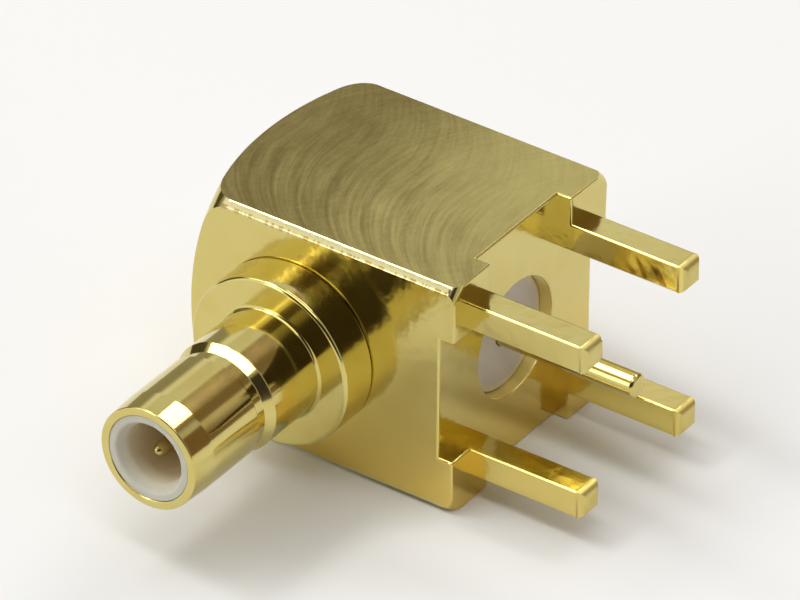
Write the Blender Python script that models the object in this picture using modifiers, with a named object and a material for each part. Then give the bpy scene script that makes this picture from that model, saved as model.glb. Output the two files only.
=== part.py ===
# Right-angle SMB jack for a circuit board, lying on one side as it comes to rest.
# The barrel points along -Y, the legs point along +X, and the block's side lies on Z = 0.
# The barrel's axis and the board pin's axis cross above the origin, at half the block's side.

import math

import bmesh
import bpy
from mathutils import Vector

# Sizes, in metres. "Reach" is always measured from the crossing of the two axes.

# The block: a square milled from a turned bar, which leaves a narrow round land on each long edge
BLOCK_SIDE = 0.00786
BAR_DIAMETER = 0.01087
DOME_REACH = 0.00449
DOME_RADIUS = 0.0107
DOME_EDGE_RADIUS = 0.00103
FOOT_REACH = 0.0056
FOOT_EDGE_RADIUS = 0.0003
CHANNEL_DEPTH = 0.00051

# The legs, in one piece with the block, on the 0.2 inch grid of the board
LEG_PITCH = 0.00508
LEG_SIDE = 0.00093
LEG_LENGTH = 0.004
LEG_TIP_CHAMFER = 0.00015

# The outer contact: a turned sleeve with a flange that seats on the block
FLANGE_DIAMETER = 0.00554
FLANGE_THICKNESS = 0.00132
FLANGE_CHAMFER = 0.0001
ROOT_DIAMETER = 0.00359
ROOT_FILLET = 0.00012
CREST_DIAMETER = 0.00343
BARREL_REACH = 0.01125
CREST_LENGTH = 0.00311
CREST_CHAMFER = 0.00008
GROOVE_WIDTH = 0.00035
GROOVE_DEPTH = 0.0001
LEAD_IN_LENGTH = 0.0009
LEAD_IN_DROP = 0.00003
LIP_CHAMFER = 0.00008
SLEEVE_WALL = 0.000315
SPIGOT_DIAMETER = 0.0044
SPIGOT_SEAT_WALL = 0.000245

# The insulator in the barrel, with the socket that the mating plug enters
LINER_RECESS = 0.00012
LINER_LEDGE = 0.00035
LINER_WALL = 0.00038
SOCKET_FUNNEL = 0.00018
SOCKET_DEPTH = 0.0044

# The centre contact, whose slotted tail takes the board pin
CONTACT_RECESS = 0.0004
CONTACT_PIN_DIAMETER = 0.00046
CONTACT_SHANK_DIAMETER = 0.0013
CONTACT_SHANK_SETBACK = 0.0005
CONTACT_BARB_HEIGHT = 0.0001
CONTACT_BARB_LENGTH = 0.0004
CONTACT_BARB_REACH = 0.0036
CONTACT_TAIL_LENGTH = 0.0009

# The board pin and its insulator
BOARD_PIN_DIAMETER = 0.00078
BOARD_PIN_SETBACK = 0.00015
BOARD_PIN_TIP = 0.00015
BOARD_PIN_TAIL = 0.00085
BOARD_BORE = 0.00377
BOARD_INSULATOR_RECESS = 0.0004
BOARD_INSULATOR_STEP = 0.00009

# The chamber around the joint of the two contacts, and the cap that closes it from behind
CHAMBER_DIAMETER = 0.003
CHAMBER_DEPTH = 0.0015
ACCESS_DIAMETER = 0.0032
CAP_DIAMETER = 0.004
CAP_THICKNESS = 0.0007
CAP_RECESS = 0.00005
CAP_CHAMFER = 0.0001

# Fits, and how finely the round shapes are divided
CLEARANCE = 0.00002
MERGE = 0.000001
OVERSHOOT = 0.001
ROUND_STEPS = 48
PIN_STEPS = 24
BAR_STEPS = 72
ARC_STEPS = 4
DOME_STEPS = 6
SMOOTH_ANGLE = math.radians(32)

# Places that follow from the sizes
halfSide = BLOCK_SIDE / 2
axisHeight = halfSide
crossing = Vector((0, 0, axisHeight))
channelFloor = FOOT_REACH - CHANNEL_DEPTH
legOffset = LEG_PITCH / 2
channelHalf = legOffset - LEG_SIDE / 2
flangeSeat = halfSide + CLEARANCE
flangeFront = flangeSeat + FLANGE_THICKNESS
crestRear = BARREL_REACH - CREST_LENGTH
spigotEnd = BOARD_BORE / 2 + SPIGOT_SEAT_WALL
sleeveBore = CREST_DIAMETER / 2 - SLEEVE_WALL
linerRadius = sleeveBore - CLEARANCE
linerEnd = spigotEnd - LINER_LEDGE
socketRadius = linerRadius - LINER_WALL
socketFloor = BARREL_REACH - SOCKET_DEPTH
shankFront = socketFloor - CONTACT_SHANK_SETBACK
insulatorFace = channelFloor - BOARD_INSULATOR_RECESS
insulatorSeat = sleeveBore + BOARD_INSULATOR_STEP
boardPinReach = FOOT_REACH + LEG_LENGTH - BOARD_PIN_SETBACK
boardPinRadius = BOARD_PIN_DIAMETER / 2
slotHalf = boardPinRadius + CLEARANCE
capSeat = halfSide - CAP_RECESS - CAP_THICKNESS

# Turns that stand a shape's local Z along the legs, or along the barrel
alongLegs = (0, math.pi / 2, 0)
alongBarrel = (math.pi / 2, 0, 0)
alongBack = (-math.pi / 2, 0, 0)


def clearScene():
    for old in list(bpy.data.objects):
        bpy.data.objects.remove(old, do_unlink=True)


def newCollection(name):
    collection = bpy.data.collections.new(name)
    bpy.context.scene.collection.children.link(collection)
    return collection


def newMaterial(name, colour, roughness, metallic):
    material = bpy.data.materials.new(name)
    material.use_nodes = True
    shader = material.node_tree.nodes["Principled BSDF"]
    shader.inputs["Base Color"].default_value = (*colour, 1)
    shader.inputs["Roughness"].default_value = roughness
    shader.inputs["Metallic"].default_value = metallic
    material.diffuse_color = (*colour, 1)
    return material


def place(name, mesh, collection, turn=(0, 0, 0)):
    """A new object of this mesh, at the crossing of the axes and turned about it."""
    piece = bpy.data.objects.new(name, mesh)
    piece.location = crossing
    piece.rotation_euler = turn
    collection.objects.link(piece)
    return piece


def block(name, low, high, collection):
    """A box between two corners, measured from the crossing."""
    shape = bmesh.new()
    bmesh.ops.create_cube(shape, size=1)
    low = Vector(low)
    high = Vector(high)
    bmesh.ops.scale(shape, vec=high - low, verts=shape.verts)
    bmesh.ops.translate(shape, vec=(low + high) / 2, verts=shape.verts)
    mesh = bpy.data.meshes.new(name)
    shape.to_mesh(mesh)
    shape.free()
    return place(name, mesh, collection)


def turned(name, profile, steps, collection, turn, closed=False):
    """A profile of (radius, height) points, run down its outer side, turned about local Z."""
    points = [(radius, 0, height) for radius, height in profile]
    edges = [(i, i + 1) for i in range(len(points) - 1)]
    if closed:
        edges.append((len(points) - 1, 0))
    mesh = bpy.data.meshes.new(name)
    mesh.from_pydata(points, edges, [])
    piece = place(name, mesh, collection, turn)
    screw = piece.modifiers.new("Turn", "SCREW")
    screw.axis = "Z"
    screw.steps = steps
    screw.render_steps = steps
    screw.use_merge_vertices = True
    screw.merge_threshold = MERGE
    return piece


def arc(centre, radius, start, end, steps):
    """Points on an arc in the (radius, height) plane, angles from the radial direction."""
    points = []
    for i in range(steps + 1):
        angle = math.radians(start + (end - start) * i / steps)
        points.append((centre[0] + radius * math.cos(angle), centre[1] + radius * math.sin(angle)))
    return points


def asCutter(piece):
    piece.hide_render = True
    piece.display_type = "WIRE"
    return piece


def drill(name, radius, start, end, turn, steps=ROUND_STEPS):
    """A plain round cutter between two heights."""
    profile = [(0, end), (radius, end), (radius, start), (0, start)]
    return asCutter(turned(name, profile, steps, cutters, turn))


def combine(piece, other, operation):
    boolean = piece.modifiers.new(other.name, "BOOLEAN")
    boolean.operation = operation
    boolean.solver = "EXACT"
    boolean.object = other


def finish(piece, material):
    """Makes the modifiers' result the piece's own mesh, shaded smooth between its edges."""
    bpy.context.view_layer.update()
    evaluated = piece.evaluated_get(bpy.context.evaluated_depsgraph_get())
    mesh = bpy.data.meshes.new_from_object(evaluated)
    piece.modifiers.clear()
    piece.data = mesh
    mesh.shade_smooth()
    mesh.set_sharp_from_angle(angle=SMOOTH_ANGLE)
    mesh.materials.clear()
    mesh.materials.append(material)


def barProfile():
    """The bar's outline: foot end with its rounded edge, the cylinder, then the shallow dome."""
    barRadius = BAR_DIAMETER / 2
    edgeCentre = barRadius - DOME_EDGE_RADIUS
    tilt = math.asin(edgeCentre / (DOME_RADIUS - DOME_EDGE_RADIUS))
    domeCentre = DOME_RADIUS - DOME_REACH
    edgeHeight = domeCentre - (DOME_RADIUS - DOME_EDGE_RADIUS) * math.cos(tilt)
    footCentre = (barRadius - FOOT_EDGE_RADIUS, FOOT_REACH - FOOT_EDGE_RADIUS)
    domeStart = math.degrees(tilt) - 90
    profile = [(0, FOOT_REACH)]
    profile += arc(footCentre, FOOT_EDGE_RADIUS, 90, 0, ARC_STEPS)
    profile += arc((edgeCentre, edgeHeight), DOME_EDGE_RADIUS, 0, domeStart, DOME_STEPS)
    profile += arc((0, domeCentre), DOME_RADIUS, domeStart, -90, DOME_STEPS)[1:-1]
    profile.append((0, -DOME_REACH))
    return profile


def makeLeg(name, ySign, zSign):
    """A square leg with a chamfered tip, sunk into the foot that carries it."""
    root = (channelFloor - OVERSHOOT, ySign * legOffset, zSign * legOffset)
    half = Vector((0, LEG_SIDE / 2, LEG_SIDE / 2))
    tip = Vector((FOOT_REACH + LEG_LENGTH, root[1], root[2])) + half
    leg = block(name, Vector(root) - half, tip, cutters)
    shape = bmesh.new()
    shape.from_mesh(leg.data)
    ends = [edge for edge in shape.edges if all(v.co.x > FOOT_REACH for v in edge.verts)]
    bmesh.ops.bevel(shape, geom=ends, offset=LEG_TIP_CHAMFER, segments=1, affect="EDGES")
    shape.to_mesh(leg.data)
    shape.free()
    return asCutter(leg)


def makeBody():
    body = turned("body", barProfile(), BAR_STEPS, parts, alongLegs)
    length = DOME_REACH + FOOT_REACH
    low = (-length, -halfSide, -halfSide)
    high = (length, halfSide, halfSide)
    combine(body, asCutter(block("square_section", low, high, cutters)), "INTERSECT")

    wide = halfSide + OVERSHOOT
    top = FOOT_REACH + OVERSHOOT
    crossways = block("channel_y", (channelFloor, -wide, -channelHalf), (top, wide, channelHalf), cutters)
    upright = block("channel_z", (channelFloor, -channelHalf, -wide), (top, channelHalf, wide), cutters)
    combine(body, asCutter(crossways), "DIFFERENCE")
    combine(body, asCutter(upright), "DIFFERENCE")

    for ySign in (-1, 1):
        for zSign in (-1, 1):
            corner = ("front" if ySign < 0 else "rear") + ("_low" if zSign < 0 else "_high")
            combine(body, makeLeg("leg_" + corner, ySign, zSign), "UNION")

    spigotBore = SPIGOT_DIAMETER / 2 + CLEARANCE
    combine(body, drill("spigot_bore", spigotBore, spigotEnd - CLEARANCE, wide, alongBarrel), "DIFFERENCE")
    combine(body, drill("liner_bore", sleeveBore, 0, wide, alongBarrel), "DIFFERENCE")
    seat = insulatorSeat - CLEARANCE
    combine(body, drill("board_bore", BOARD_BORE / 2, seat, top, alongLegs), "DIFFERENCE")
    combine(body, drill("chamber", CHAMBER_DIAMETER / 2, -CHAMBER_DEPTH, top, alongLegs), "DIFFERENCE")
    combine(body, drill("access_hole", ACCESS_DIAMETER / 2, 0, wide, alongBack), "DIFFERENCE")
    capBore = CAP_DIAMETER / 2 + CLEARANCE
    combine(body, drill("cap_seat", capBore, capSeat - CLEARANCE, wide, alongBack), "DIFFERENCE")
    finish(body, gold)


def makeOuterContact():
    crest = CREST_DIAMETER / 2
    root = ROOT_DIAMETER / 2
    flange = FLANGE_DIAMETER / 2
    groove = crest - GROOVE_DEPTH
    grooveFront = crestRear - CREST_CHAMFER
    grooveRear = grooveFront - GROOVE_WIDTH
    lip = crest - LEAD_IN_DROP
    profile = [
        (sleeveBore, BARREL_REACH),
        (lip - LIP_CHAMFER, BARREL_REACH),
        (lip, BARREL_REACH - LIP_CHAMFER),
        (crest, BARREL_REACH - LEAD_IN_LENGTH),
        (crest, crestRear),
        (groove, grooveFront),
        (groove, grooveRear),
        (root, grooveRear - abs(root - groove)),
    ]
    profile += arc((root + ROOT_FILLET, flangeFront + ROOT_FILLET), ROOT_FILLET, 180, 270, ARC_STEPS)
    profile += [
        (flange - FLANGE_CHAMFER, flangeFront),
        (flange, flangeFront - FLANGE_CHAMFER),
        (flange, flangeSeat),
        (SPIGOT_DIAMETER / 2, flangeSeat),
        (SPIGOT_DIAMETER / 2, spigotEnd),
        (sleeveBore, spigotEnd),
    ]
    finish(turned("outer_contact", profile, ROUND_STEPS, parts, alongBarrel, closed=True), gold)


def shankOutline(extra):
    """The shank's outer side with its barb, from front to tail, grown by a clearance."""
    shank = CONTACT_SHANK_DIAMETER / 2 + extra
    barb = shank + CONTACT_BARB_HEIGHT
    return [
        (shank, shankFront + extra),
        (shank, CONTACT_BARB_REACH + CONTACT_BARB_LENGTH),
        (barb, CONTACT_BARB_REACH - extra),
        (shank, CONTACT_BARB_REACH - extra),
    ]


def makeFrontInsulator():
    front = BARREL_REACH - LINER_RECESS
    pinHole = CONTACT_PIN_DIAMETER / 2 + CLEARANCE
    inside = [
        (socketRadius + SOCKET_FUNNEL, front),
        (socketRadius, front - SOCKET_FUNNEL),
        (socketRadius, socketFloor),
        (pinHole, socketFloor),
        (pinHole, shankFront + CLEARANCE),
    ]
    inside += shankOutline(CLEARANCE)
    inside.append((CONTACT_SHANK_DIAMETER / 2 + CLEARANCE, linerEnd))
    profile = [(linerRadius, front), (linerRadius, linerEnd)] + inside[::-1]
    finish(turned("front_insulator", profile, ROUND_STEPS, parts, alongBarrel, closed=True), plastic)


def makeCentreContact():
    tip = BARREL_REACH - CONTACT_RECESS
    pin = CONTACT_PIN_DIAMETER / 2
    profile = arc((0, tip - pin), pin, 90, 0, ARC_STEPS)
    profile.append((pin, shankFront))
    profile += shankOutline(0)
    profile += [(CONTACT_SHANK_DIAMETER / 2, -CONTACT_TAIL_LENGTH), (0, -CONTACT_TAIL_LENGTH)]
    contact = turned("centre_contact", profile, PIN_STEPS, parts, alongBarrel)
    wide = CONTACT_SHANK_DIAMETER
    past = CONTACT_TAIL_LENGTH + OVERSHOOT
    slot = block("tail_slot", (-wide, -slotHalf, -slotHalf), (wide, past, slotHalf), cutters)
    combine(contact, asCutter(slot), "DIFFERENCE")
    finish(contact, gold)


def makeBoardPin():
    profile = [
        (0, boardPinReach),
        (boardPinRadius - BOARD_PIN_TIP, boardPinReach),
        (boardPinRadius, boardPinReach - BOARD_PIN_TIP),
        (boardPinRadius, -BOARD_PIN_TAIL),
        (0, -BOARD_PIN_TAIL),
    ]
    finish(turned("board_pin", profile, PIN_STEPS, parts, alongLegs), gold)


def makeBoardInsulator():
    outer = BOARD_BORE / 2 - CLEARANCE
    inner = boardPinRadius + CLEARANCE
    profile = [(inner, insulatorFace), (outer, insulatorFace), (outer, insulatorSeat), (inner, insulatorSeat)]
    finish(turned("board_insulator", profile, ROUND_STEPS, parts, alongLegs, closed=True), plastic)


def makeAccessCap():
    radius = CAP_DIAMETER / 2
    front = halfSide - CAP_RECESS
    profile = [
        (0, front),
        (radius - CAP_CHAMFER, front),
        (radius, front - CAP_CHAMFER),
        (radius, capSeat),
        (0, capSeat),
    ]
    finish(turned("access_cap", profile, ROUND_STEPS, parts, alongBack), gold)


clearScene()
parts = newCollection("smb_connector")
cutters = newCollection("cutters")
gold = newMaterial("gold_plated_brass", (0.83, 0.66, 0.27), 0.22, 1)
plastic = newMaterial("white_insulator", (0.86, 0.86, 0.83), 0.5, 0)

makeBody()
makeOuterContact()
makeFrontInsulator()
makeCentreContact()
makeBoardPin()
makeBoardInsulator()
makeAccessCap()
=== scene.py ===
# Looks of a right-angle SMB jack: gold-plated block, turned barrel, white insulators, board legs.
# Pieces are modelled in millimetres and shrunk to metres when they are finished.

import math

import bmesh
import bpy
from mathutils import Matrix, Vector


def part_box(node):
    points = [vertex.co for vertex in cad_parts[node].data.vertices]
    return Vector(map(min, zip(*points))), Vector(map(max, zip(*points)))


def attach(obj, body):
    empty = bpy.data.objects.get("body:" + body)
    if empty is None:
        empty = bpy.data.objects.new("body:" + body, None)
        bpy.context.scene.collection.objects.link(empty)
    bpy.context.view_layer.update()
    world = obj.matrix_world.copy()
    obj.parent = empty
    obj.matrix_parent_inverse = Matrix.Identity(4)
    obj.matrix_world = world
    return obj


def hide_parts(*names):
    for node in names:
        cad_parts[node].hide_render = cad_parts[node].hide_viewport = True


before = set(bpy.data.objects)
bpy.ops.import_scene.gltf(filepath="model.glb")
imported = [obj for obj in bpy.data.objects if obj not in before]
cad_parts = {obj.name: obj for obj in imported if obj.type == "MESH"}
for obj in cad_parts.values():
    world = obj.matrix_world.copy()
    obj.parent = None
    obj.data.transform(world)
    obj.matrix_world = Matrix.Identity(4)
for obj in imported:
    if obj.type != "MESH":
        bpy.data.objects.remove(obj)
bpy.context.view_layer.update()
scene = bpy.context.scene

millimetre = 0.001


def boxOf(node):
    low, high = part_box(node)
    return Vector(low) / millimetre, Vector(high) / millimetre


blockLow, blockHigh = boxOf("body")
halfSide = blockHigh.z / 2                       # half the block's square side
crossing = Vector((0, 0, halfSide))              # where the barrel's and the board pin's axes meet
domeReach = -blockLow.x
legTip = blockHigh.x
mouth = -boxOf("outer_contact")[0].y             # reach of the barrel's mouth from the crossing
spigotEnd = -boxOf("outer_contact")[1].y
boardPinTip = boxOf("board_pin")[1].x
contactTip = -boxOf("centre_contact")[0].y

alongLegs = Matrix.Rotation(math.pi / 2, 4, "Y")     # stands a turned piece's Z along the legs
alongBarrel = Matrix.Rotation(math.pi / 2, 4, "X")   # or along the barrel, towards its mouth
alongBack = Matrix.Rotation(-math.pi / 2, 4, "X")    # or towards the back of the block

print("frame loaded")


# Shader maths: a Value is a socket that adds, multiplies and so on by adding Math nodes

class Value:
    def __init__(self, nodes, socket):
        self.nodes = nodes
        self.socket = socket

    def maths(self, operation, *others):
        return self.nodes.add("ShaderNodeMath", {"operation": operation}, [self, *others])

    def __add__(self, other):
        return self.maths("ADD", other)

    def __sub__(self, other):
        return self.maths("SUBTRACT", other)

    def __mul__(self, other):
        return self.maths("MULTIPLY", other)

    def __rsub__(self, other):
        return self.nodes.add("ShaderNodeMath", {"operation": "SUBTRACT"}, [other, self])

    __radd__ = __add__
    __rmul__ = __mul__

    def root(self):
        return self.maths("MAXIMUM", 0).maths("SQRT")

    def size(self):
        return self.maths("ABSOLUTE")

    def smooth(self, start, end):
        settings = {"interpolation_type": "SMOOTHSTEP"}
        limits = {"Value": self, "From Min": start, "From Max": end}
        return self.nodes.add("ShaderNodeMapRange", settings, limits)

    def within(self, low, high, soft):
        return self.smooth(low - soft, low + soft) * (1 - self.smooth(high - soft, high + soft))


class Nodes:
    def __init__(self, tree):
        self.tree = tree
        tree.nodes.clear()

    def add(self, kind, settings=None, inputs=None, output=0):
        node = self.tree.nodes.new(kind)
        for key, setting in (settings or {}).items():
            setattr(node, key, setting)
        pairs = inputs.items() if isinstance(inputs, dict) else enumerate(inputs or [])
        for key, value in pairs:
            if isinstance(value, Value):
                self.tree.links.new(value.socket, node.inputs[key])
            else:
                node.inputs[key].default_value = value
        return Value(self, node.outputs[output]) if node.outputs else node

    def outputs(self, value):
        return [Value(self, socket) for socket in value.socket.node.outputs]

    def parts(self, vector):
        return self.outputs(self.add("ShaderNodeSeparateXYZ", None, [vector]))

    def vector(self, x, y, z):
        return self.add("ShaderNodeCombineXYZ", None, [x, y, z])

    def position(self):
        objectSpace = self.add("ShaderNodeTexCoord", None, None, "Object")
        return self.parts(self.add("ShaderNodeVectorMath", {"operation": "SCALE"},
                                   {"Vector": objectSpace, "Scale": 1 / millimetre}))

    def noise(self, vector, scale, detail=2.0, roughness=0.5):
        return self.add("ShaderNodeTexNoise", None,
                        {"Vector": vector, "Scale": scale, "Detail": detail, "Roughness": roughness})

    def mix(self, factor, first, second):
        mixed = self.add("ShaderNodeMix", {"data_type": "RGBA"}).socket.node
        sockets = {"Factor": factor, "A": first, "B": second}
        for key, value in sockets.items():
            socket = [each for each in mixed.inputs if each.name == key and each.enabled][0]
            if isinstance(value, Value):
                self.tree.links.new(value.socket, socket)
            else:
                socket.default_value = value
        return Value(self, [each for each in mixed.outputs if each.enabled][0])

    def bump(self, height, distance):
        return self.add("ShaderNodeBump", None, {"Height": height, "Distance": distance})


def newMaterial(name):
    material = bpy.data.materials.new(name)
    material.use_nodes = True
    return material, Nodes(material.node_tree)


def surface(nodes, inputs):
    shader = nodes.add("ShaderNodeBsdfPrincipled", None, inputs)
    nodes.add("ShaderNodeOutputMaterial", None, {"Surface": shader})


# Gold plating. Colours are as the photo's pale studio shows them.

gold = {
    "bright": (0.67, 0.575, 0.21, 1),
    "deep": (0.65, 0.535, 0.175, 1),
    # painted reflection of the shaded table, low down near it
    "warm": (0.85, 0.63, 0.165, 1),          # low down, near the table
    # painted reflection on the inner sides of the legs behind and on the tops of the lower legs
    "leg": (0.90, 0.75, 0.22, 1),            # on the legs' inner sides
    # pale: painted reflection inside the board bore, and the bright metal beside the dents
    "pale": (0.95, 0.80, 0.30, 1),           # inside the board bore
    # lit: painted highlight on the bore's upper side
    "lit": (1.0, 0.95, 0.50, 1),             # the bore's brightest side
    "land": (0.70, 0.63, 0.32, 1),
    # painted dark reflection above the barrel, also used for the painted dark dashes on the land's edge
    "paintedDarkReflection": (0.40, 0.28, 0.09, 1),          # above the barrel
    "burr": (0.34, 0.19, 0.05, 1),           # dents near the end of one leg
    # painted shade: a darker copy of the gold for the contact deep in the socket
    "shadedContact": (0.52, 0.41, 0.16, 1),           # the contact deep in the socket
    "shadedContactDeep": (0.44, 0.33, 0.11, 1),
    # the milled top's shaded and lit tones, with painted reflection blended between them
    "milledShaded": (0.19, 0.14, 0.04, 1),
    "milledLit": (0.60, 0.515, 0.19, 1),
}


turning = {
    "patchEdges": (0.35, 0.75),  # where the paler gold passes into the deeper gold
    "unevenness": 0.05,          # of the shine, from ring to ring and from patch to patch
}


def turnedGold(name, axis, finish):
    # Fine rings around the axis, as the lathe leaves them
    material, nodes = newMaterial(name)
    place = nodes.position()
    pale, deep = finish["colours"]
    rings = nodes.noise(nodes.vector(place[axis] * finish["ringsPerMm"], 0, 0), 1.0, 3.0)
    patches = nodes.noise(nodes.vector(*place), finish["patchesPerMm"], 2.0)
    uneven = ((rings - 0.5) + (patches - 0.5)) * turning["unevenness"]
    surface(nodes, {
        "Base Color": nodes.mix(patches.smooth(*turning["patchEdges"]), gold[pale], gold[deep]),
        "Metallic": 1.0,
        "Roughness": finish["roughness"] + uneven,
        "Normal": nodes.bump(rings, finish["ringDepth"]),
    })
    return material


barrelFinish = {
    "ringsPerMm": 16,
    "patchesPerMm": 1.3,
    "roughness": 0.10,
    "ringDepth": 0.0000006,      # in metres, as every bump's depth
    "colours": ("bright", "deep"),
}
pinFinish = {
    "ringsPerMm": 14,
    "patchesPerMm": 1.6,
    "roughness": 0.19,
    "ringDepth": 0.0000005,
    "colours": ("bright", "deep"),
}
contactFinish = {
    "ringsPerMm": 14,
    "patchesPerMm": 1.6,
    "roughness": 0.24,
    "ringDepth": 0.0000005,
    "colours": ("shadedContact", "shadedContactDeep"),
}
capFinish = {
    "ringsPerMm": 9,
    "patchesPerMm": 1.2,
    "roughness": 0.16,
    "ringDepth": 0.0000006,
    "colours": ("bright", "deep"),
}

blockFinish = {
    "roughness": 0.11,
    "haze": 0.05,                # added where the plating is duller
    "worn": 0.25,                # added in the board bore and on the legs' ends
    "grainPerMm": 14.0,
    "grainDepth": 0.3,           # depths in thousandths of a millimetre
    "wavesPerMm": 2.8,
    "waveDepth": 7.0,
    "topFacing": (0.80, 0.97),   # how far upwards a face looks before it counts as the milled top
    "topHeight": (1.9, 1.98),    # and how high it lies, in half sides of the block
    "legEnds": (9.15, 9.4),
}

milling = {
    "cutterRadius": 4.9,         # the face mill's, in millimetres
    "cutterPath": 0.3,           # how far its path lies behind the centre line
    "nearSide": (-1.5, 1.8),     # the marks of its front change towards the barrel
    "roughness": 0.36,
    "depth": 9.0,
    # Each set of arcs: how fine it is across and along the cut, and its strength, first behind and then
    # what nearness to the barrel adds
    "arcs": [
        {"across": 9, "along": 0.25, "seed": 0, "detail": 3.0, "rough": 0.65, "strength": (0.7, 0.9)},
        {"across": 3.6, "along": 0.42, "seed": 3, "detail": 2.0, "rough": 0.55, "strength": (0.4, 1.5)},
        {"across": 1.5, "along": 0.2, "seed": 9, "detail": 1.0, "rough": 0.5, "strength": (0.0, 0.7)},
    ],
    "crossed": {
        "across": 5, "along": 0.4, "seed": 7, "detail": 2.0, "rough": 0.6, "strength": (1.2, -0.8),
    },
    # painted reflection: the top is lighter towards the legs and the far corner
    "towardsLegs": 0.47,         # shares in the brushed colour's tone
    "towardsCorner": 0.3,
    "marks": 0.42,
    "speckle": 0.25,
    "patches": 0.3,
    "toneRange": (-0.41, 1.04),
}


def arcMarks(nodes, distance, y, near, arc):
    # One set of arcs: along each of them the distance is the same
    place = nodes.vector(distance * arc["across"], y * arc["along"], arc["seed"])
    pattern = nodes.noise(place, 1.0, arc["detail"], arc["rough"])
    behind, added = arc["strength"]
    return (pattern - 0.5) * (behind + near * added)


def millingMarks(nodes, x, y):
    radius = milling["cutterRadius"]
    offset = y - milling["cutterPath"]
    reach = (radius * radius - offset * offset).root()
    leading = x + reach                      # the same all along one arc of the cutter's front
    trailing = x - reach                     # and of its back, which leaves the crossed arcs
    near = 1 - y.smooth(*milling["nearSide"])
    marks = arcMarks(nodes, trailing, y, near, milling["crossed"])
    for arc in milling["arcs"]:
        marks = marks + arcMarks(nodes, leading, y, near, arc)
    return marks


def milledColourAndSheen(nodes, x, y, marks, patches):
    # Lighter towards the legs and the far corner, as painted reflection, and along the marks
    speckle = nodes.noise(nodes.vector(x * 9, y * 5, 0), 1.0, 2.0)
    corner = y.smooth(-3.5, 4.0) * x.smooth(-2.0, 4.0)
    paintedSheen = x.smooth(-2.6, 5.4) * milling["towardsLegs"] + corner * milling["towardsCorner"]
    uneven = (speckle - 0.5) * milling["speckle"] + (patches - 0.5) * milling["patches"]
    tone = paintedSheen + marks * milling["marks"] + uneven
    return nodes.mix(tone.smooth(*milling["toneRange"]), gold["milledShaded"], gold["milledLit"])


blockPaint = {                   # places in millimetres, and shares of each tint
    # painted reflection: warmer gold low down, where it shows the shaded table
    "warmBelow": 5.0,            # the gold is warmer towards the table
    "warm": 0.8,
    "warmOnLegs": 0.4,
    "legStart": 5.6,
    # painted reflection on the legs' inner sides and on the lower legs' tops
    "legInside": (2.0, 2.14),    # the inner sides of the two legs behind
    "lowTops": (2.0, 2.2),       # the tops of the two lower legs lie below this
    "barSurface": (5.36, 5.41),  # what is left of the turned bar lies this far from its axis
    # painted reflection on the bore's wall, and a painted highlight on its upper side
    "boreWall": (1.98, 2.06),    # and the wall of the board bore lies within this
    "boreDepth": (3.5, 5.07),
    "boreLit": (4.7, 5.3),
    # painted breaks in the highlight along the land's edge
    "dashesPerMm": 4.5,          # along the land above the barrel
    "dashes": 0.8,
    # painted dark reflection above the barrel
    "darkReflectionAlong": (0.1, 1.9),    # above the barrel
    "darkReflectionHeight": (6.5, 7.3),
    "paintedDarkReflection": 0.5,
    "dentsAlong": (7.6, 9.1),    # near the end of the upper leg behind
    "dentsFrom": (6.0, 6.15),
    "dentsTo": (6.65, 6.85),
    "dents": 0.9,
}


def warmReflections(nodes, colour, x, y, z, upward):
    # Painted reflections: warmer towards the table, and brighter on the inner sides of the legs and on
    # the tops of the lower ones
    start = blockPaint["legStart"]
    onLegs = x.smooth(start, start + 0.6) * (1 - blockPaint["warmOnLegs"])
    low = (1 - z.smooth(0.0, blockPaint["warmBelow"])) * (1 - onLegs)
    legInside = x.smooth(start, start + 0.3) * y.within(*blockPaint["legInside"], 0.02)
    below = 1 - z.smooth(*blockPaint["lowTops"])
    lowTop = upward.smooth(0.8, 0.95) * below * (1 - y.smooth(-0.5, 0.5))
    colour = nodes.mix(low * blockPaint["warm"], colour, gold["warm"])
    return nodes.mix(legInside * blockPaint["warm"] + lowTop, colour, gold["leg"]), legInside


def paintLand(nodes, colour, x, y, height, axisDistance):
    # What is left of the turned bar, and dark dashes along the lower edge of the land above the barrel,
    # painted as breaks in the edge's highlight
    land = axisDistance.smooth(*blockPaint["barSurface"])
    dashes = nodes.noise(nodes.vector(x * blockPaint["dashesPerMm"], 0, 0), 1.0, 1.0).smooth(0.48, 0.54)
    lowerEdge = (y.size() - height.size()).smooth(0.04, 0.1)
    aboveBarrel = (1 - y.smooth(-1.0, 0.0)) * height.smooth(0.0, 1.0)
    colour = nodes.mix(land, colour, gold["land"])
    dashed = land * lowerEdge * aboveBarrel * dashes
    return nodes.mix(dashed * blockPaint["dashes"], colour, gold["paintedDarkReflection"])


def paintDarkReflection(nodes, colour, x, y, z):
    # Painted reflection: a brown spot with a ragged edge, on the front face only, for the dark
    # reflection above the barrel
    edge = nodes.noise(nodes.vector(x * 4, y, z * 4), 1.0, 2.0)
    spot = x.within(*blockPaint["darkReflectionAlong"], 0.5) * z.within(*blockPaint["darkReflectionHeight"], 0.3)
    darkened = ((edge - 0.5) * 1.5 + spot).smooth(0.55, 0.75)
    onFront = 1 - y.smooth(-3.9, -3.8)
    return nodes.mix(darkened * onFront * blockPaint["paintedDarkReflection"], colour, gold["paintedDarkReflection"])


def paintDents(nodes, colour, x, z, legInside):
    # Short dark nicks with bright metal beside them
    dents = nodes.noise(nodes.vector(x * 2.6 + z * 2.2, (x - z) * 0.8, 4.0), 1.0, 0.5)
    upper = z.smooth(*blockPaint["dentsFrom"]) * (1 - z.smooth(*blockPaint["dentsTo"]))
    dented = legInside * x.within(*blockPaint["dentsAlong"], 0.2) * upper
    colour = nodes.mix(dented * dents.smooth(0.48, 0.62) * blockPaint["dents"], colour, gold["burr"])
    return nodes.mix(dented * (1 - dents.smooth(0.36, 0.46)), colour, gold["pale"])


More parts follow.
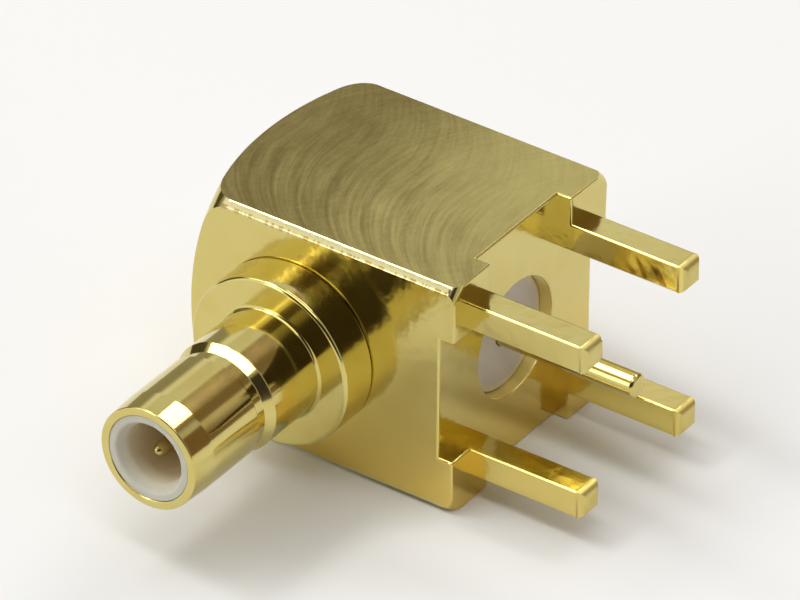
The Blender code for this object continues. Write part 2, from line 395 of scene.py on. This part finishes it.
def blockGold():
    # Bright sides, and a top that the face mill has left brushed in arcs
    material, nodes = newMaterial("blockGold")
    place = nodes.position()
    x, y, z = place
    upward = nodes.parts(nodes.add("ShaderNodeNewGeometry", None, None, "Normal"))[2]
    lowest, highest = blockFinish["topHeight"]
    top = upward.smooth(*blockFinish["topFacing"]) * z.smooth(halfSide * lowest, halfSide * highest)
    marks = millingMarks(nodes, x, y)
    patches = nodes.noise(nodes.vector(*place), 0.9, 3.0)
    topTone = milledColourAndSheen(nodes, x, y, marks, patches)

    height = z - halfSide
    axisDistance = (y * y + height * height).root()
    # Painted reflection on the board bore's wall, and a painted highlight on its upper side
    inBore = 1 - axisDistance.smooth(*blockPaint["boreWall"])
    boreWall = inBore * x.within(*blockPaint["boreDepth"], 0.02)
    boreLit = boreWall * z.smooth(*blockPaint["boreLit"])
    plain = nodes.mix(patches.smooth(0.3, 0.8), gold["bright"], gold["deep"])
    plain, legInside = warmReflections(nodes, plain, x, y, z, upward)
    plain = nodes.mix(boreWall, plain, gold["pale"])
    plain = nodes.mix(boreLit, plain, gold["lit"])
    plain = paintLand(nodes, plain, x, y, height, axisDistance)
    plain = paintDarkReflection(nodes, plain, x, y, z)
    plain = paintDents(nodes, plain, x, z, legInside)

    haze = nodes.noise(nodes.vector(*place), 2.2, 2.0) * blockFinish["haze"]
    worn = (boreWall + x.smooth(*blockFinish["legEnds"])).smooth(0.0, 1.0) * blockFinish["worn"]
    side = blockFinish["roughness"] + haze + worn
    waves = nodes.noise(nodes.vector(*place), blockFinish["wavesPerMm"], 1.0) * blockFinish["waveDepth"]
    grain = nodes.noise(nodes.vector(*place), blockFinish["grainPerMm"], 2.0) * blockFinish["grainDepth"]
    relief = marks * (top * milling["depth"]) + (grain + waves) * (1 - top)
    surface(nodes, {
        "Base Color": nodes.mix(top, plain, topTone),
        "Metallic": 1 - boreWall * 0.6 - boreLit * 0.4,      # little is reflected in the bore
        "Roughness": side * (1 - top) + (milling["roughness"] - marks * 0.08) * top,
        "Normal": nodes.bump(relief, millimetre / 1000),
    })
    return material


plastic = {
    "white": (0.61, 0.60, 0.50, 1),
    "grey": (0.54, 0.53, 0.44, 1),
    "shaded": (0.60, 0.53, 0.45, 1),         # on the board end
    # painted shade and gold reflection, deep in the socket and towards the board end's rim
    "warm": (0.84, 0.70, 0.45, 1),           # deep in the socket, and towards the board end's rim
    "socketWall": (1.02, 1.17),
    "socketMouth": (-0.1, 1.1),              # how deep the socket is before it is warm
    "boardRim": (1.5, 1.9),
    "frontEnd": (-4.5, -4.0),                # parts the liner in the barrel from the board end's ring
    "roughness": 0.42,
}


def whiteInsulator():
    # White fluoropolymer, which takes a painted gold-brown shade where gold surrounds it
    material, nodes = newMaterial("whiteInsulator")
    place = nodes.position()
    x, y, z = place
    height = z - halfSide
    fromBarrelAxis = (x * x + height * height).root()
    fromPinAxis = (y * y + height * height).root()
    rear = y.smooth(*plastic["frontEnd"])
    depth = (y + mouth).smooth(*plastic["socketMouth"])
    inSocket = (1 - fromBarrelAxis.smooth(*plastic["socketWall"])) * depth * (1 - rear)
    cloud = nodes.noise(nodes.vector(*place), 2.5, 3.0)
    colour = nodes.mix(cloud, plastic["white"], plastic["grey"])
    colour = nodes.mix(rear * 0.8, colour, plastic["shaded"])
    colour = nodes.mix(rear * fromPinAxis.smooth(*plastic["boardRim"]) * 0.7, colour, plastic["warm"])
    surface(nodes, {
        "Base Color": nodes.mix(inSocket, colour, plastic["warm"]),
        "Roughness": plastic["roughness"] + cloud * 0.12,
        "Specular IOR Level": 0.35,
        "Subsurface Weight": 0.15,
        "Subsurface Radius": (0.0003, 0.0003, 0.0003),
        "Normal": nodes.bump(cloud, 0.000002),
    })
    return material


slots = {
    "gold_block": blockGold(),
    "gold_barrel": turnedGold("barrelGold", 1, barrelFinish),
    "gold_pin": turnedGold("pinGold", 0, pinFinish),
    "gold_cap": turnedGold("capGold", 1, capFinish),
    "white_insulator": whiteInsulator(),
}
contactGold = turnedGold("contactGold", 1, contactFinish)
print("materials made")


# Modelling helpers

def newPiece(name, mesh):
    piece = bpy.data.objects.new(name, mesh)
    scene.collection.objects.link(piece)
    return piece


def rounded(corners, steps=5):
    # An outline of (radius, height, rounding) corners, with an arc wherever the rounding isn't 0
    points = []
    count = len(corners)
    for i, (across, height, rounding) in enumerate(corners):
        here = Vector((across, height))
        if rounding == 0:
            points.append(here)
            continue
        before = Vector(corners[i - 1][:2]) - here
        after = Vector(corners[(i + 1) % count][:2]) - here
        half = before.angle(after) / 2
        back = rounding / math.tan(half)
        before.normalize()
        after.normalize()
        centre = here + (before + after).normalized() * (rounding / math.sin(half))
        start = here + before * back - centre
        sweep = (here + after * back - centre).angle_signed(start)
        for step in range(steps + 1):
            points.append(centre + Matrix.Rotation(sweep * step / steps, 2) @ start)
    return [(point.x, point.y) for point in points]


def turned(name, outline, turn, steps=192, closed=True):
    # Turns an outline of (radius, height) points, run down its outer side, about the given axis
    mesh = bpy.data.meshes.new(name)
    points = [(across, 0, height) for across, height in outline]
    edges = [(i, i + 1) for i in range(len(points) - 1)]
    if closed:
        edges.append((len(points) - 1, 0))
    mesh.from_pydata(points, edges, [])
    piece = newPiece(name, mesh)
    screw = piece.modifiers.new("Turn", "SCREW")
    screw.steps = steps
    screw.render_steps = steps
    screw.use_merge_vertices = True
    screw.merge_threshold = 0.0001
    bake(piece)
    piece.data.transform(Matrix.Translation(crossing) @ turn)
    snap(piece.data)
    return piece


def snap(mesh):
    # Faces that two shapes share must agree to the last digit before the shapes are joined
    for vertex in mesh.vertices:
        vertex.co = [round(number, 4) for number in vertex.co]


def bake(piece):
    bpy.context.view_layer.update()
    evaluated = piece.evaluated_get(bpy.context.evaluated_depsgraph_get())
    mesh = bpy.data.meshes.new_from_object(evaluated)
    piece.modifiers.clear()
    piece.data = mesh


def box(name, low, high):
    # A box between two corners, measured from the crossing
    shape = bmesh.new()
    bmesh.ops.create_cube(shape, size=1)
    low, high = Vector(low), Vector(high)
    bmesh.ops.scale(shape, vec=high - low, verts=shape.verts)
    bmesh.ops.translate(shape, vec=(low + high) / 2 + crossing, verts=shape.verts)
    mesh = bpy.data.meshes.new(name)
    shape.to_mesh(mesh)
    shape.free()
    snap(mesh)
    return newPiece(name, mesh)


def combine(piece, others, operation):
    for other in others:
        boolean = piece.modifiers.new(operation, "BOOLEAN")
        boolean.operation = operation
        boolean.solver = "EXACT"
        boolean.object = other
        bake(piece)
        bpy.data.objects.remove(other, do_unlink=True)


shading = {
    "sharpEdge": math.radians(40),
    "largeFace": 0.5,               # square millimetres
    "slightTurn": math.radians(20),
}


def flatten(mesh):
    # Large faces shade flat up to their corners, where the roundings start from the same normal
    normals = [Vector(corner.vector) for corner in mesh.corner_normals]
    flats = {}
    small = []
    for face in mesh.polygons:
        if face.area <= shading["largeFace"]:
            small.append(face)
            continue
        for i in face.loop_indices:
            normals[i] = face.normal.copy()
            flats.setdefault(mesh.loops[i].vertex_index, []).append(face.normal.copy())
    for face in small:
        for i in face.loop_indices:
            for normal in flats.get(mesh.loops[i].vertex_index, []):
                if face.normal.angle(normal, math.pi) < shading["slightTurn"]:
                    normals[i] = normal
    mesh.normals_split_custom_set(normals)


def finishPiece(piece, slot, node, material=None):
    # Shrinks a piece to metres, gives it its finish, and lets it stand for its CAD node
    piece.data.shade_smooth()
    piece.data.set_sharp_from_angle(angle=shading["sharpEdge"])
    weighted = piece.modifiers.new("Normals", "WEIGHTED_NORMAL")
    weighted.keep_sharp = True
    weighted.weight = 100
    bake(piece)
    mesh = piece.data
    flatten(mesh)
    mesh.transform(Matrix.Scale(millimetre, 4))
    mesh.materials.clear()
    mesh.materials.append(material or slots[slot])
    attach(piece, "root")
    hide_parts(node)
    print(f"{piece.name}: {len(mesh.polygons)} faces")


# The block, cut from a turned bar

blockSizes = {
    "barDiameter": 10.87,
    "domeRadius": 10.7,
    "domeEdge": 1.03,               # rounding between the dome and the bar's side
    "footReach": 5.6,
    "footEdge": 0.3,
    "channelDepth": 0.51,
    "legPitch": 5.08,
    "legSide": 0.93,
    "legTipRounding": 0.3,
    "edgeRounding": 0.075,
    "straightEdge": 0.35,           # edges shorter than this stay sharp
    "boardBore": 3.77,
    "boreLead": (0.04, 0.12),       # the rounded rim of the board bore, across and along
    "barrelBore": 4.44,
    "spigotGap": 0.02,
    "passage": 2.8,                 # from the barrel to the chamber
    "chamber": 3.0,
    "chamberDepth": 1.5,
    "access": 3.2,
    "capBore": 4.04,
    "capSeat": 3.16,
    "insulatorSeat": 1.47,
    "steps": {"foot": 5, "edge": 10, "dome": 12},       # along each curve of the bar's outline
}
beyond = 1.0                        # how far a cutter runs past what it cuts


def barOutline():
    # Foot end, rounded edge, the bar's side, rounded edge, shallow dome
    bar = blockSizes["barDiameter"] / 2
    edge = blockSizes["domeEdge"]
    foot = blockSizes["footEdge"]
    dome = blockSizes["domeRadius"]
    footReach = blockSizes["footReach"]
    steps = blockSizes["steps"]
    centre = dome - domeReach
    tilt = math.asin((bar - edge) / (dome - edge))
    edgeHeight = centre - (dome - edge) * math.cos(tilt)
    quarter = math.pi / 2
    outline = [(0, footReach)]
    for i in range(steps["foot"] + 1):
        angle = quarter * (1 - i / steps["foot"])
        outline.append((bar - foot + foot * math.cos(angle), footReach - foot + foot * math.sin(angle)))
    for i in range(steps["edge"] + 1):
        angle = (tilt - quarter) * i / steps["edge"]
        outline.append((bar - edge + edge * math.cos(angle), edgeHeight + edge * math.sin(angle)))
    for i in range(1, steps["dome"]):
        angle = tilt - quarter - tilt * i / steps["dome"]
        outline.append((dome * math.cos(angle), centre + dome * math.sin(angle)))
    outline.append((0, -domeReach))
    return outline


def drill(diameter, start, end, axis, lead=(0, 0)):
    # A round cutter between two heights, which can round the rim where it leaves the metal
    radius = diameter / 2
    across, along = lead
    outline = [(0, end + beyond), (radius + across, end + beyond)]
    if along:
        steps = 6
        for i in range(steps + 1):
            turn = math.pi / 2 * i / steps
            outline.append((radius + across * (1 - math.sin(turn)), end - along * (1 - math.cos(turn))))
    outline += [(radius, start), (0, start)]
    return turned("drill", outline, axis, 128, closed=False)


def legTree():
    # Geometry Nodes: one leg on each corner of a square of the given pitch
    tree = bpy.data.node_groups.new("boardLegs", "GeometryNodeTree")
    tree.interface.new_socket("Geometry", in_out="OUTPUT", socket_type="NodeSocketGeometry")
    inputs = {"Geometry": "Geometry", "Pitch": "Float", "Leg": "Object", "Finish": "Material"}
    for name, kind in inputs.items():
        tree.interface.new_socket(name, in_out="INPUT", socket_type="NodeSocket" + kind)
    nodes = Nodes(tree)
    pitch, leg, finish = nodes.outputs(nodes.add("NodeGroupInput"))[1:4]
    square = {"Size X": pitch, "Size Y": pitch, "Vertices X": 2, "Vertices Y": 2}
    corners = nodes.add("GeometryNodeMeshGrid", None, square)
    shape = nodes.add("GeometryNodeObjectInfo", None, {"Object": leg}, "Geometry")
    legs = nodes.add("GeometryNodeInstanceOnPoints", None, {"Points": corners, "Instance": shape})
    legs = nodes.add("GeometryNodeRealizeInstances", None, {"Geometry": legs})
    legs = nodes.add("GeometryNodeSetMaterial", None, {"Geometry": legs, "Material": finish})
    nodes.add("NodeGroupOutput", None, {"Geometry": legs})
    return tree


def makeLegs():
    # One leg stands along Z first, and the four are turned onto the block together
    side = blockSizes["legSide"] / 2
    low = blockSizes["footReach"] - blockSizes["channelDepth"] - beyond
    leg = box("leg", (-side, -side, low - halfSide), (side, side, legTip - halfSide))
    shape = bmesh.new()
    shape.from_mesh(leg.data)
    ends = [edge for edge in shape.edges if all(v.co.z > low + beyond for v in edge.verts)]
    rounding = blockSizes["legTipRounding"]
    bmesh.ops.bevel(shape, geom=ends, offset=rounding, segments=6, profile=0.5, affect="EDGES")
    shape.to_mesh(leg.data)
    shape.free()
    tree = legTree()
    legs = newPiece("legs", bpy.data.meshes.new("legs"))
    modifier = legs.modifiers.new("Legs", "NODES")
    modifier.node_group = tree
    settings = {"Pitch": blockSizes["legPitch"], "Leg": leg, "Finish": slots["gold_block"]}
    for item in tree.interface.items_tree:
        if item.name in settings:
            modifier[item.identifier] = settings[item.name]
    bake(legs)
    bpy.data.objects.remove(leg, do_unlink=True)
    legs.data.transform(Matrix.Translation(crossing) @ alongLegs)
    snap(legs.data)
    return legs


def weigh(shape):
    # Only the straight outer edges are rounded: not inner corners, the dome's edge or the bores' rims
    weight = shape.edges.layers.float.new("bevel_weight_edge")
    for edge in shape.edges:
        outer = edge.calc_face_angle_signed(0) > math.radians(30)
        straight = edge.calc_length() > blockSizes["straightEdge"]
        edge[weight] = 1.0 if outer and straight else 0.0


def makeBlock():
    footReach = blockSizes["footReach"]
    floor = footReach - blockSizes["channelDepth"]
    gap = (blockSizes["legPitch"] - blockSizes["legSide"]) / 2
    length = domeReach + footReach
    wide = halfSide + beyond
    block = turned("block", barOutline(), alongLegs, 120, closed=False)      # a seam lies on each land
    square = box("square", (-length, -halfSide, -halfSide), (length, halfSide, halfSide))
    channels = [
        box("channel", (floor, -wide, -gap), (footReach + beyond, wide, gap)),
        box("channel", (floor, -gap, -wide), (footReach + beyond, gap, wide)),
    ]
    lead = blockSizes["boreLead"]
    spigotSeat = spigotEnd - blockSizes["spigotGap"]
    bores = [
        drill(blockSizes["barrelBore"], spigotSeat, halfSide, alongBarrel),
        drill(blockSizes["passage"], 0, halfSide, alongBarrel),
        drill(blockSizes["boardBore"], blockSizes["insulatorSeat"], floor, alongLegs, lead),
        drill(blockSizes["chamber"], -blockSizes["chamberDepth"], floor, alongLegs),
        drill(blockSizes["access"], 0, halfSide, alongBack),
        drill(blockSizes["capBore"], blockSizes["capSeat"], halfSide, alongBack),
    ]
    combine(block, [square], "INTERSECT")
    combine(block, channels, "DIFFERENCE")
    combine(block, [makeLegs()], "UNION")
    combine(block, bores, "DIFFERENCE")

    shape = bmesh.new()
    shape.from_mesh(block.data)
    bmesh.ops.remove_doubles(shape, verts=shape.verts, dist=0.0005)
    flat = math.radians(0.2)
    bmesh.ops.dissolve_limit(shape, angle_limit=flat, verts=shape.verts, edges=shape.edges)
    weigh(shape)
    shape.to_mesh(block.data)
    shape.free()
    bevel = block.modifiers.new("Edges", "BEVEL")
    bevel.width = blockSizes["edgeRounding"]
    bevel.segments = 3
    bevel.limit_method = "WEIGHT"
    bevel.use_clamp_overlap = False
    bake(block)
    finishPiece(block, "gold_block", "body")


makeBlock()


# The barrel

barrelSizes = {
    "flangeDiameter": 5.54,
    "flangeThickness": 1.32,
    "seatGap": 0.02,
    "flangeEdge": 0.12,
    "rootDiameter": 3.59,
    "rootFillet": 0.11,
    "crestDiameter": 3.43,
    "crestLength": 3.11,
    "crestEdge": 0.05,
    "grooveWidth": 0.35,
    "grooveDepth": 0.1,
    "crestRamp": 0.08,
    "shoulder": 0.3,
    "leadInLength": 0.9,
    "leadInDrop": 0.05,
    "lip": 0.05,
    "bore": 2.8,
    "spigotDiameter": 4.4,
    "mouthEdge": 0.04,
    "grooveEdges": (0.04, 0.05),
    "shoulderEdge": 0.06,
    "leadInCurve": 1.8,
    "seatEdge": 0.07,
    "spigotEdge": 0.1,
}


def makeBarrel():
    crest = barrelSizes["crestDiameter"] / 2
    root = barrelSizes["rootDiameter"] / 2
    groove = crest - barrelSizes["grooveDepth"]
    flange = barrelSizes["flangeDiameter"] / 2
    seat = halfSide + barrelSizes["seatGap"]
    flangeFront = seat + barrelSizes["flangeThickness"]
    crestRear = mouth - barrelSizes["crestLength"]
    grooveFront = crestRear - barrelSizes["crestRamp"]
    grooveRear = grooveFront - barrelSizes["grooveWidth"]
    lip = crest - barrelSizes["leadInDrop"]
    bore = barrelSizes["bore"] / 2
    spigot = barrelSizes["spigotDiameter"] / 2
    frontEdge, rearEdge = barrelSizes["grooveEdges"]
    outline = rounded([
        (bore, mouth, barrelSizes["mouthEdge"]),
        (lip, mouth, barrelSizes["lip"]),
        (crest, mouth - barrelSizes["leadInLength"], barrelSizes["leadInCurve"]),
        (crest, crestRear, barrelSizes["crestEdge"]),
        (groove, grooveFront, frontEdge),
        (groove, grooveRear, rearEdge),
        (root, grooveRear - barrelSizes["shoulder"], barrelSizes["shoulderEdge"]),
        (root, flangeFront, barrelSizes["rootFillet"]),
        (flange, flangeFront, barrelSizes["flangeEdge"]),
        (flange, seat, barrelSizes["seatEdge"]),
        (spigot, seat, 0),
        (spigot, spigotEnd, barrelSizes["spigotEdge"]),
        (bore, spigotEnd, 0),
    ])
    finishPiece(turned("barrel", outline, alongBarrel, 256), "gold_barrel", "outer_contact")


makeBarrel()


# The insulator in the barrel, and the pin in its socket

linerSizes = {
    "radius": 1.395,
    "recess": 0.03,
    "end": 1.78,
    "socket": 1.0,
    "funnel": 0.16,             # how much wider the socket's mouth is
    "funnelDepth": 0.352,
    "funnelCurves": (0.12, 0.4),
    "socketDepth": 4.4,
    "gap": 0.02,
}
contactSizes = {
    "pin": 0.46,
    "point": 0.42,              # length of its rounded end
    "shank": 1.3,
    "setback": 0.5,
    "barbReach": 3.6,
    "barbLength": 0.4,
    "barbHeight": 0.1,
    "tail": 0.9,
    "slot": 0.82,
}


def shankCorners(extra):
    shank = contactSizes["shank"] / 2 + extra
    barb = shank + contactSizes["barbHeight"]
    front = mouth - linerSizes["socketDepth"] - contactSizes["setback"] + extra
    reach = contactSizes["barbReach"]
    return [
        (shank, front, 0),
        (shank, reach + contactSizes["barbLength"], 0),
        (barb, reach - extra, 0),
        (shank, reach - extra, 0),
    ]


def makeLiner():
    radius = linerSizes["radius"]
    front = mouth - linerSizes["recess"]
    end = linerSizes["end"]
    socket = linerSizes["socket"]
    gap = linerSizes["gap"]
    floor = mouth - linerSizes["socketDepth"]
    outerCurve, innerCurve = linerSizes["funnelCurves"]
    pinHole = contactSizes["pin"] / 2 + gap
    shank = contactSizes["shank"] / 2 + gap
    inside = [
        (socket + linerSizes["funnel"], front, outerCurve),
        (socket, front - linerSizes["funnelDepth"], innerCurve),
        (socket, floor, 0.08),
        (pinHole, floor, 0.02),
        (pinHole, floor - contactSizes["setback"] + gap, 0),
        *shankCorners(gap),
        (shank, end, 0),
    ]
    outline = rounded([(radius, front, 0.02), (radius, end, 0)] + inside[::-1])
    finishPiece(turned("liner", outline, alongBarrel), "white_insulator", "front_insulator")


def makeContact():
    pin = contactSizes["pin"] / 2
    shank = contactSizes["shank"] / 2
    tail = -contactSizes["tail"]
    front = mouth - linerSizes["socketDepth"] - contactSizes["setback"]
    tipSteps = 12
    point = contactSizes["point"]
    turns = [math.pi / 2 * i / tipSteps for i in range(tipSteps + 1)]
    tip = [(pin * math.sin(turn), contactTip - point * (1 - math.cos(turn))) for turn in turns]
    corners = [(pin, front, 0.03), *shankCorners(0), (shank, tail, 0), (0, tail, 0)]
    outline = tip + rounded([(pin, contactTip - point, 0)] + corners)[1:]
    contact = turned("contact", outline, alongBarrel, 64, closed=False)
    half = contactSizes["slot"] / 2
    slot = box("slot", (-shank * 2, -half, -half), (shank * 2, -tail + beyond, half))
    combine(contact, [slot], "DIFFERENCE")
    finishPiece(contact, "gold_pin", "centre_contact", contactGold)


makeLiner()
makeContact()


# The board pin in its insulator, and the cap at the back

boardSizes = {
    "pin": 0.78,
    "pinTip": 0.14,             # rounding of its outer end
    "pinTail": 0.85,
    "pinTailEdge": 0.05,
    "insulatorRadius": 1.865,
    "insulatorHole": 0.41,
    "insulatorFace": 4.69,
    "insulatorSeat": 1.49,
    "insulatorEdges": (0.04, 0.05),     # at the pin's hole, and outside
}
capSizes = {
    "radius": 2.0,
    "thickness": 0.7,
    "recess": 0.05,
    "chamfer": 0.1,
    "edge": 0.05,
}


def makeBoardPin():
    radius = boardSizes["pin"] / 2
    tail = -boardSizes["pinTail"]
    outline = rounded([
        (0, boardPinTip, 0),
        (radius, boardPinTip, boardSizes["pinTip"]),
        (radius, tail, boardSizes["pinTailEdge"]),
        (0, tail, 0),
    ], 8)
    finishPiece(turned("boardPin", outline, alongLegs, 96, closed=False), "gold_pin", "board_pin")


def makeBoardInsulator():
    face = boardSizes["insulatorFace"]
    seat = boardSizes["insulatorSeat"]
    hole = boardSizes["insulatorHole"]
    radius = boardSizes["insulatorRadius"]
    inner, outer = boardSizes["insulatorEdges"]
    outline = rounded([(hole, face, inner), (radius, face, outer), (radius, seat, 0), (hole, seat, 0)])
    finishPiece(turned("boardInsulator", outline, alongLegs), "white_insulator", "board_insulator")


def makeCap():
    radius = capSizes["radius"]
    chamfer = capSizes["chamfer"]
    edge = capSizes["edge"]
    face = halfSide - capSizes["recess"]
    inner = face - capSizes["thickness"]
    outline = rounded([
        (0, face, 0),
        (radius - chamfer, face, edge),
        (radius, face - chamfer, edge),
        (radius, inner, 0),
        (0, inner, 0),
    ])
    finishPiece(turned("rearCap", outline, alongBack, closed=False), "gold_cap", "access_cap")


makeBoardPin()
makeBoardInsulator()
makeCap()
print("pieces made")


# Camera, floor and light

view = {
    "azimuth": 34.572,
    "elevation": 34.294,
    "roll": 0.590,
    "distance": 317.213,        # millimetres from the aim point
    "aimRight": 0.808,          # the aim point lies this far from the crossing, across the picture
    "aimUp": -0.587,            # and up it
    "lens": 485.187,
}


def makeCamera():
    # Azimuth 0 looks from -Y, and 90 from +X
    azimuth = math.radians(view["azimuth"])
    elevation = math.radians(view["elevation"])
    level = math.cos(elevation)
    back = Vector((math.sin(azimuth) * level, -math.cos(azimuth) * level, math.sin(elevation)))
    right = Vector((0, 0, 1)).cross(back).normalized()
    right = Matrix.Rotation(math.radians(view["roll"]), 3, back) @ right
    up = back.cross(right)
    place = crossing + right * view["aimRight"] + up * view["aimUp"] + back * view["distance"]
    data = bpy.data.cameras.new("camera")
    data.lens = view["lens"]
    data.clip_start = 0.01
    data.clip_end = 20
    camera = bpy.data.objects.new("camera", data)
    turn = Matrix((right, up, back)).transposed().to_4x4()
    camera.matrix_world = Matrix.Translation(place * millimetre) @ turn
    scene.collection.objects.link(camera)
    scene.camera = camera


table = {
    "halfWidth": 3.0,
    "colour": (0.86, 0.86, 0.86, 1),
    "roughness": 0.9,
    "skyColour": (0.93, 0.93, 0.93, 1),      # seen only past the table's edge, in low views
}


def makeFloor():
    shape = bmesh.new()
    bmesh.ops.create_grid(shape, x_segments=2, y_segments=2, size=table["halfWidth"])
    mesh = bpy.data.meshes.new("floor")
    shape.to_mesh(mesh)
    shape.free()
    material, nodes = newMaterial("paper")
    paper = {"Base Color": table["colour"], "Roughness": table["roughness"], "Specular IOR Level": 0.1}
    surface(nodes, paper)
    mesh.materials.append(material)
    floor = newPiece("floor", mesh)


softboxes = {                    # in metres, each turned towards the connector
    "left": {
        "centre": (-0.235, -0.06, 0.45),
        "along": (0.1, 1, 0),
        "length": 0.38,
        "width": 0.10,
        "radiance": 4.6,
    },
    "back": {
        "centre": (0.056, 0.358, 0.532),
        "along": (0.2175, 0, -0.038),
        "length": 0.37,
        "width": 0.11,
        "radiance": 4.2,
    },
    "strip": {
        "centre": (-0.12, -0.18, 0.62),
        "along": (1.31, -0.22, 0),
        "length": 1.36,
        "width": 0.11,
        "radiance": 4.6,
    },
}


def makeSoftbox(name, settings):
    length = settings["length"]
    width = settings["width"]
    data = bpy.data.lights.new(name, "AREA")
    data.shape = "RECTANGLE"
    data.size = length
    data.size_y = width
    data.energy = settings["radiance"] * math.pi * length * width
    lamp = bpy.data.objects.new(name, data)
    centre = Vector(settings["centre"])
    back = (centre - crossing * millimetre).normalized()      # the lamp shines along its own -Z
    along = Vector(settings["along"])
    along = (along - back * along.dot(back)).normalized()
    across = back.cross(along)
    turn = Matrix((along, across, back)).transposed().to_4x4()
    lamp.matrix_world = Matrix.Translation(centre) @ turn
    lamp.visible_camera = False
    scene.collection.objects.link(lamp)


tent = {
    "radius": 0.9,
    "plain": (0.55, 0.54, 0.52, 1),
    "cards": [                   # azimuth 0 is behind the object (+Y), 90 on its right (+X)
        {"azimuth": (-112, -20), "elevation": (-5, 25), "soft": 4, "colour": (0.35, 0.33, 0.26, 1)},
        {"azimuth": (-100, -70), "elevation": (-5, 31), "soft": 3, "colour": (0.09, 0.075, 0.045, 1)},
        {"azimuth": (-78, -11), "elevation": (27, 37), "soft": 3, "colour": (0.90, 0.90, 0.92, 1)},
        {"azimuth": (-78, -11), "elevation": (37, 52), "soft": 3, "colour": (0.75, 0.74, 0.70, 1)},
        {"azimuth": (-8, 41), "elevation": (-5, 53), "soft": 2.5, "colour": (0.34, 0.24, 0.18, 1)},
        {"azimuth": (18, 41), "elevation": (-5, 44), "soft": 4, "colour": (0.22, 0.155, 0.10, 1)},
        {"azimuth": (38, 46), "elevation": (19, 30), "soft": 1.5, "colour": (0.62, 0.54, 0.44, 1)},
        {"azimuth": (46, 60), "elevation": (-5, 31), "soft": 2, "colour": (0.21, 0.13, 0.075, 1)},
        {"azimuth": (-158, -112), "elevation": (-5, 46), "soft": 4, "colour": (1.10, 1.10, 1.08, 1)},
        {"azimuth": (-160, -147), "elevation": (7, 38), "soft": 1.5, "colour": (3.40, 3.35, 3.20, 1)},
        {"azimuth": (-181, -162), "elevation": (-5, 52), "soft": 3, "colour": (0.55, 0.50, 0.48, 1)},
        {"azimuth": (-181, -157), "elevation": (40, 52), "soft": 2, "colour": (0.26, 0.19, 0.14, 1)},
        {"azimuth": (-181, -164), "elevation": (-5, 52), "soft": 2, "colour": (0.12, 0.09, 0.07, 1)},
        {"azimuth": (104, 181), "elevation": (-5, 46), "soft": 4, "colour": (0.045, 0.035, 0.035, 1)},
    ],
}


def makeTent():
    # A dome of cards around the table, out of the camera's sight, which the polished metal shows
    shape = bmesh.new()
    bmesh.ops.create_uvsphere(shape, u_segments=64, v_segments=32, radius=tent["radius"])
    below = [vertex for vertex in shape.verts if vertex.co.z < -0.001]
    bmesh.ops.delete(shape, geom=below, context="VERTS")
    mesh = bpy.data.meshes.new("tent")
    shape.to_mesh(mesh)
    shape.free()
    material, nodes = newMaterial("cards")
    x, y, z = nodes.position()
    azimuth = x.maths("ARCTAN2", y) * (180 / math.pi)
    elevation = z.maths("ARCTAN2", (x * x + y * y).root()) * (180 / math.pi)
    colour = tent["plain"]
    for card in tent["cards"]:
        soft = card["soft"]
        inside = azimuth.within(*card["azimuth"], soft) * elevation.within(*card["elevation"], soft)
        colour = nodes.mix(inside, colour, card["colour"])
    glow = nodes.add("ShaderNodeEmission", None, {"Color": colour, "Strength": 1.0})
    nodes.add("ShaderNodeOutputMaterial", None, {"Surface": glow})
    mesh.materials.append(material)
    dome = newPiece("tent", mesh)
    dome.visible_camera = False
    dome.visible_shadow = False


def makeSky():
    world = bpy.data.worlds.new("sky")
    scene.world = world
    world.use_nodes = True
    nodes = Nodes(world.node_tree)
    sky = nodes.add("ShaderNodeBackground", None, {"Color": table["skyColour"], "Strength": 1.0})
    nodes.add("ShaderNodeOutputWorld", None, {"Surface": sky})


makeCamera()
makeFloor()
for name, settings in softboxes.items():
    makeSoftbox(name, settings)
makeTent()
makeSky()
scene.view_settings.view_transform = "Standard"
print("camera and light set")
